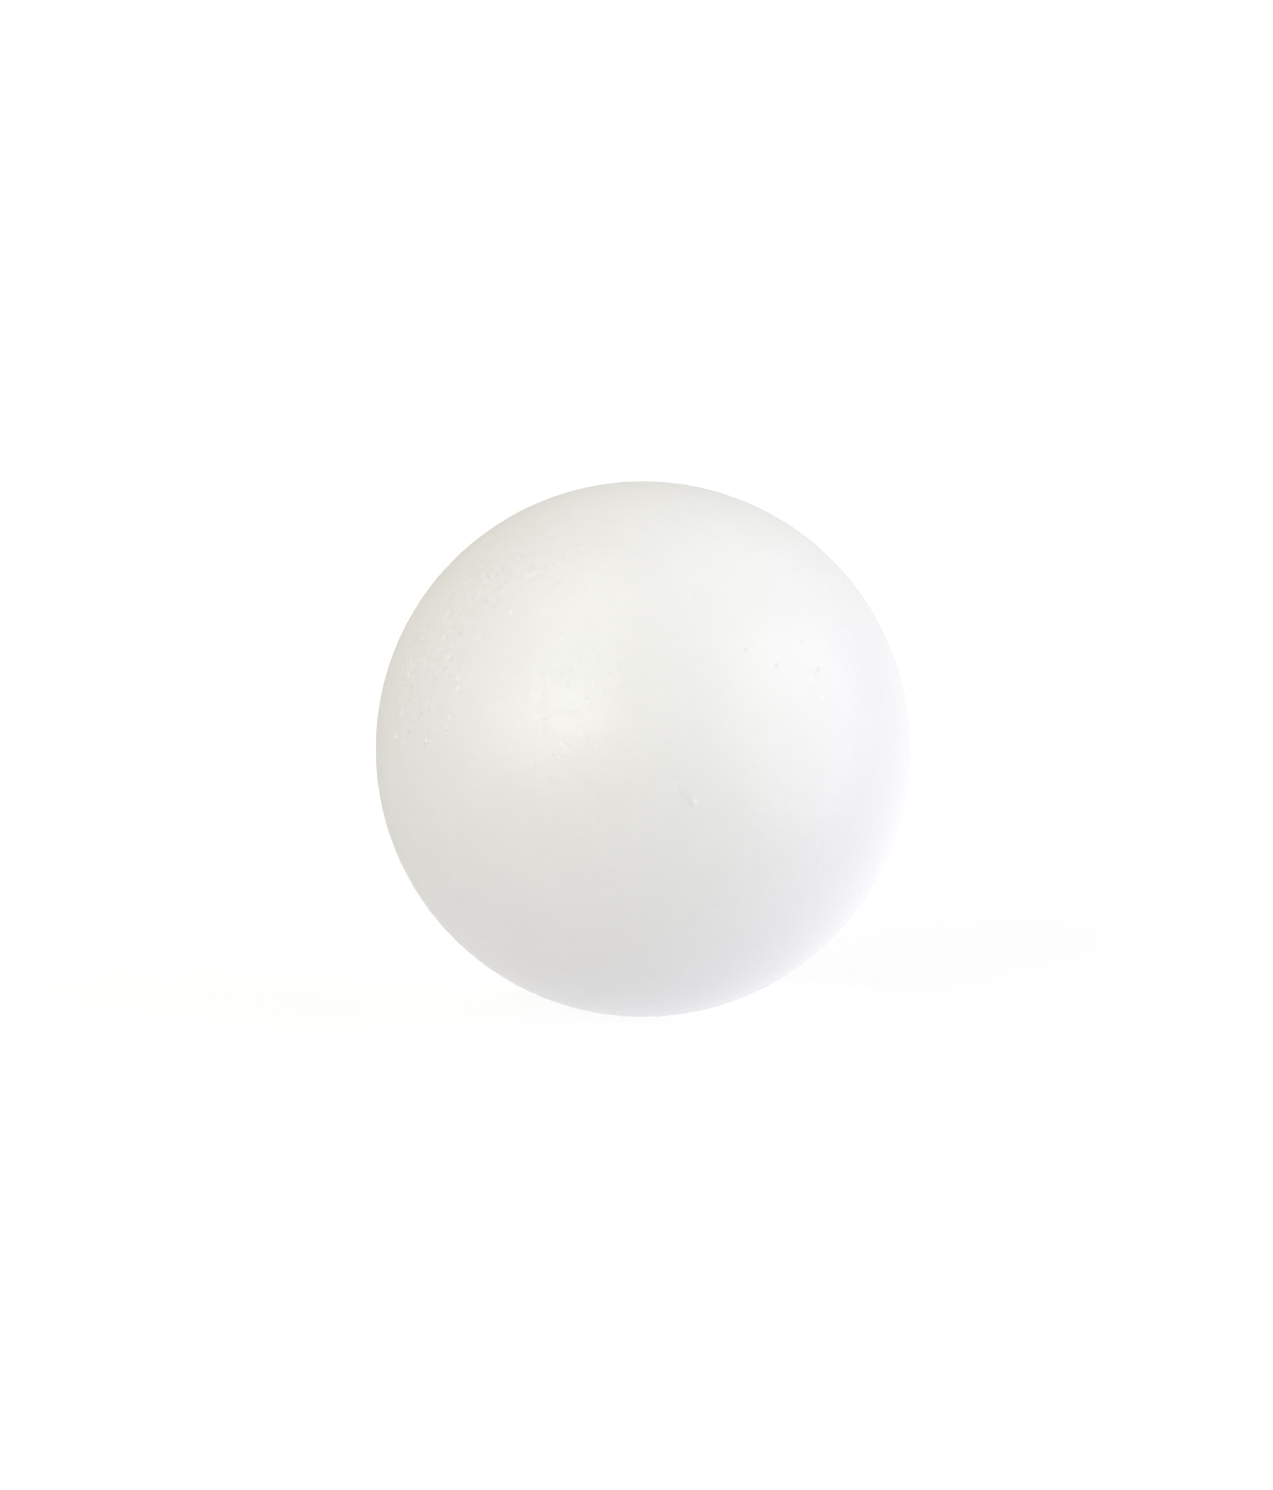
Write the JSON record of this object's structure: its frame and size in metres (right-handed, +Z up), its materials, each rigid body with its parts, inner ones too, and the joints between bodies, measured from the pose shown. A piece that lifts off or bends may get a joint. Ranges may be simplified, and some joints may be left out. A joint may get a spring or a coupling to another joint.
{
  "type": "polystyrene craft ball",
  "caption": "Solid round ball of white expanded polystyrene foam, moulded in one piece, for crafts and decoration.",
  "frame": {"origin": "centre of the ball", "axes": "+Z up as the ball is pictured, +Y away from the viewer along the way the mould opened, through the filling port's ring"},
  "size_m": [0.0802, 0.08, 0.0802],
  "materials": {
    "expanded_polystyrene": "satin moulded skin of fused foam beads"
  },
  "bodies": {
    "root": {"foam_ball": "expanded_polystyrene"}
  },
  "joints": []
}
